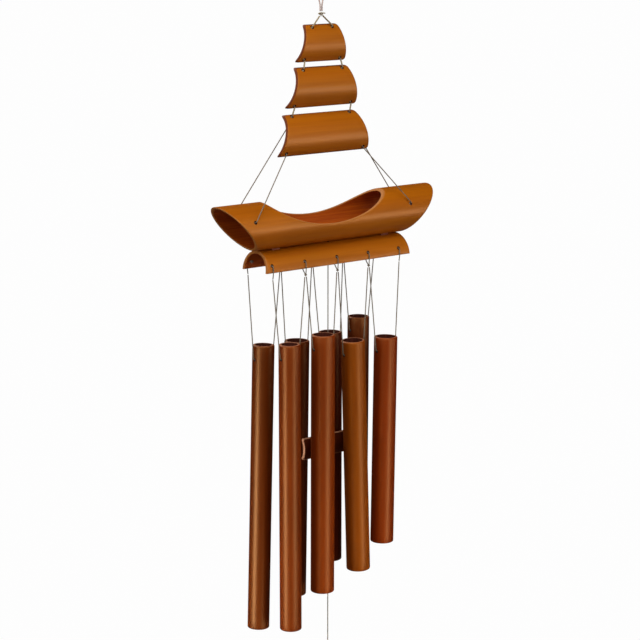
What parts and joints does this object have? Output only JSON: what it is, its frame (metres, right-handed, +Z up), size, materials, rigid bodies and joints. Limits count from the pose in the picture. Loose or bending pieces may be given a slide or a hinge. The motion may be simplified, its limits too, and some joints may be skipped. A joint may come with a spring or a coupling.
{
  "type": "bamboo wind chime",
  "caption": "Hanging bamboo wind chime shaped like a small sailing boat, with curved sails, a hollow hull, two rows of tuned tubes and a clapper line.",
  "frame": {"origin": "top of the hanging loop, where a hook carries the chime", "axes": "+Z up, +X along the hull towards the short tubes, -Y the front, where the sails bulge"},
  "size_m": [0.273, 0.0639, 0.7388],
  "materials": {
    "caramel_bamboo": "satin",
    "dark_bamboo": "satin",
    "stained_cord": "matte",
    "dried_glue": "matte"
  },
  "bodies": {
    "hanging_loop": {"hanging_loop": "stained_cord"},
    "top_knot": {"top_knot": "stained_cord"},
    "top_bridle": {"top_bridle": "stained_cord"},
    "small_sail": {"small_sail": "caramel_bamboo", "small_sail_cords": "stained_cord"},
    "upper_links": {"upper_links": "stained_cord"},
    "middle_sail": {"middle_sail": "caramel_bamboo", "middle_sail_cords": "stained_cord"},
    "lower_links": {"lower_links": "stained_cord"},
    "boat": {"large_sail": "caramel_bamboo", "front_shrouds": "stained_cord", "back_shrouds": "stained_cord", "hull": "caramel_bamboo", "rail": "caramel_bamboo", "glue_pads": "dried_glue", "front_ties": "stained_cord", "back_ties": "stained_cord"},
    "front_cord_1": {"front_cord_1": "stained_cord"},
    "front_tube_1": {"front_tube_1": "dark_bamboo"},
    "front_cord_2": {"front_cord_2": "stained_cord"},
    "front_tube_2": {"front_tube_2": "dark_bamboo"},
    "front_cord_3": {"front_cord_3": "stained_cord"},
    "front_tube_3": {"front_tube_3": "dark_bamboo"},
    "front_cord_4": {"front_cord_4": "stained_cord"},
    "front_tube_4": {"front_tube_4": "dark_bamboo"},
    "back_cord_1": {"back_cord_1": "stained_cord"},
    "back_tube_1": {"back_tube_1": "dark_bamboo"},
    "back_cord_2": {"back_cord_2": "stained_cord"},
    "back_tube_2": {"back_tube_2": "dark_bamboo"},
    "back_cord_3": {"back_cord_3": "stained_cord"},
    "back_tube_3": {"back_tube_3": "dark_bamboo"},
    "back_cord_4": {"back_cord_4": "stained_cord"},
    "back_tube_4": {"back_tube_4": "dark_bamboo"},
    "clapper_knot": {"clapper_knot": "stained_cord"},
    "clapper_cord": {"clapper_cord": "stained_cord"},
    "clapper": {"clapper": "dark_bamboo", "clapper_run": "stained_cord"},
    "catcher_cord": {"catcher_cord": "stained_cord"},
    "wind_catcher": {"wind_catcher": "caramel_bamboo"}
  },
  "joints": [
    {"name": "chime_twist", "type": "hinge", "parent": "hanging_loop", "child": "top_knot", "pos_m": [0, 0, -0.033], "axis": [0, 0, 1], "range_deg": [-90, 90]},
    {"name": "chime_sway", "type": "hinge", "parent": "top_knot", "child": "top_bridle", "pos_m": [0, 0, -0.033], "axis": [0, 1, 0], "range_deg": [-12, 12]},
    {"name": "small_sail_swing", "type": "hinge", "parent": "top_bridle", "child": "small_sail", "pos_m": [0.0022, 0, -0.04489], "axis": [1, 0, 0], "range_deg": [-12, 12]},
    {"name": "upper_link_swing", "type": "hinge", "parent": "small_sail", "child": "upper_links", "pos_m": [0.0022, 0, -0.07711], "axis": [1, 0, 0], "range_deg": [-10, 10]},
    {"name": "middle_sail_swing", "type": "hinge", "parent": "upper_links", "child": "middle_sail", "pos_m": [0.003, 0, -0.08562], "axis": [1, 0, 0], "range_deg": [-12, 12]},
    {"name": "lower_link_swing", "type": "hinge", "parent": "middle_sail", "child": "lower_links", "pos_m": [0.003, 0, -0.12138], "axis": [1, 0, 0], "range_deg": [-10, 10]},
    {"name": "boat_swing", "type": "hinge", "parent": "lower_links", "child": "boat", "pos_m": [0.0004, 0, -0.12952], "axis": [1, 0, 0], "range_deg": [-12, 12]},
    {"name": "front_cord_1_swing", "type": "hinge", "parent": "boat", "child": "front_cord_1", "pos_m": [-0.0565, -0.0195, -0.28362], "axis": [-1, 0, 0], "range_deg": [-0.2, 20]},
    {"name": "front_tube_1_swing", "type": "hinge", "parent": "front_cord_1", "child": "front_tube_1", "pos_m": [-0.0565, -0.0195, -0.36412], "axis": [-1, 0, 0], "range_deg": [-0.2, 12]},
    {"name": "front_cord_2_swing", "type": "hinge", "parent": "boat", "child": "front_cord_2", "pos_m": [-0.0137, -0.0195, -0.28362], "axis": [-1, 0, 0], "range_deg": [-0.2, 20]},
    {"name": "front_tube_2_swing", "type": "hinge", "parent": "front_cord_2", "child": "front_tube_2", "pos_m": [-0.0137, -0.0195, -0.36012], "axis": [-1, 0, 0], "range_deg": [-0.2, 12]},
    {"name": "front_cord_3_swing", "type": "hinge", "parent": "boat", "child": "front_cord_3", "pos_m": [0.0258, -0.0195, -0.28362], "axis": [-1, 0, 0], "range_deg": [-0.2, 20]},
    {"name": "front_tube_3_swing", "type": "hinge", "parent": "front_cord_3", "child": "front_tube_3", "pos_m": [0.0258, -0.0195, -0.37112], "axis": [-1, 0, 0], "range_deg": [-0.2, 12]},
    {"name": "front_cord_4_swing", "type": "hinge", "parent": "boat", "child": "front_cord_4", "pos_m": [0.0694, -0.0195, -0.28362], "axis": [-1, 0, 0], "range_deg": [-0.2, 20]},
    {"name": "front_tube_4_swing", "type": "hinge", "parent": "front_cord_4", "child": "front_tube_4", "pos_m": [0.0694, -0.0195, -0.37312], "axis": [-1, 0, 0], "range_deg": [-0.2, 12]},
    {"name": "back_cord_1_swing", "type": "hinge", "parent": "boat", "child": "back_cord_1", "pos_m": [-0.0585, 0.0195, -0.28362], "axis": [1, 0, 0], "range_deg": [-0.2, 20]},
    {"name": "back_tube_1_swing", "type": "hinge", "parent": "back_cord_1", "child": "back_tube_1", "pos_m": [-0.0585, 0.0195, -0.37062], "axis": [1, 0, 0], "range_deg": [-0.2, 12]},
    {"name": "back_cord_2_swing", "type": "hinge", "parent": "boat", "child": "back_cord_2", "pos_m": [-0.0155, 0.0195, -0.28362], "axis": [1, 0, 0], "range_deg": [-0.2, 20]},
    {"name": "back_tube_2_swing", "type": "hinge", "parent": "back_cord_2", "child": "back_tube_2", "pos_m": [-0.0155, 0.0195, -0.37212], "axis": [1, 0, 0], "range_deg": [-0.2, 12]},
    {"name": "back_cord_3_swing", "type": "hinge", "parent": "boat", "child": "back_cord_3", "pos_m": [0.0284, 0.0195, -0.28362], "axis": [1, 0, 0], "range_deg": [-0.2, 20]},
    {"name": "back_tube_3_swing", "type": "hinge", "parent": "back_cord_3", "child": "back_tube_3", "pos_m": [0.0284, 0.0195, -0.36912], "axis": [1, 0, 0], "range_deg": [-0.2, 12]},
    {"name": "back_cord_4_swing", "type": "hinge", "parent": "boat", "child": "back_cord_4", "pos_m": [0.0665, 0.0195, -0.28362], "axis": [1, 0, 0], "range_deg": [-0.2, 20]},
    {"name": "back_tube_4_swing", "type": "hinge", "parent": "back_cord_4", "child": "back_tube_4", "pos_m": [0.0665, 0.0195, -0.35762], "axis": [1, 0, 0], "range_deg": [-0.2, 12]},
    {"name": "clapper_sway", "type": "hinge", "parent": "boat", "child": "clapper_knot", "pos_m": [0.007, -0.0025, -0.25687], "axis": [0, 1, 0], "range_deg": [-1.5, 1.5]},
    {"name": "clapper_cord_swing", "type": "hinge", "parent": "clapper_knot", "child": "clapper_cord", "pos_m": [0.007, -0.0025, -0.25687], "axis": [1, 0, 0], "range_deg": [-0.5, 0.5]},
    {"name": "clapper_swing", "type": "hinge", "parent": "clapper_cord", "child": "clapper", "pos_m": [0.007, -0.0025, -0.45822], "axis": [1, 0, 0], "range_deg": [-2, 2]},
    {"name": "catcher_cord_swing", "type": "hinge", "parent": "clapper", "child": "catcher_cord", "pos_m": [0.007, -0.0025, -0.47469], "axis": [1, 0, 0], "range_deg": [-20, 20]},
    {"name": "wind_catcher_swing", "type": "hinge", "parent": "catcher_cord", "child": "wind_catcher", "pos_m": [0.007, -0.0025, -0.70269], "axis": [1, 0, 0], "range_deg": [-25, 25]}
  ]
}
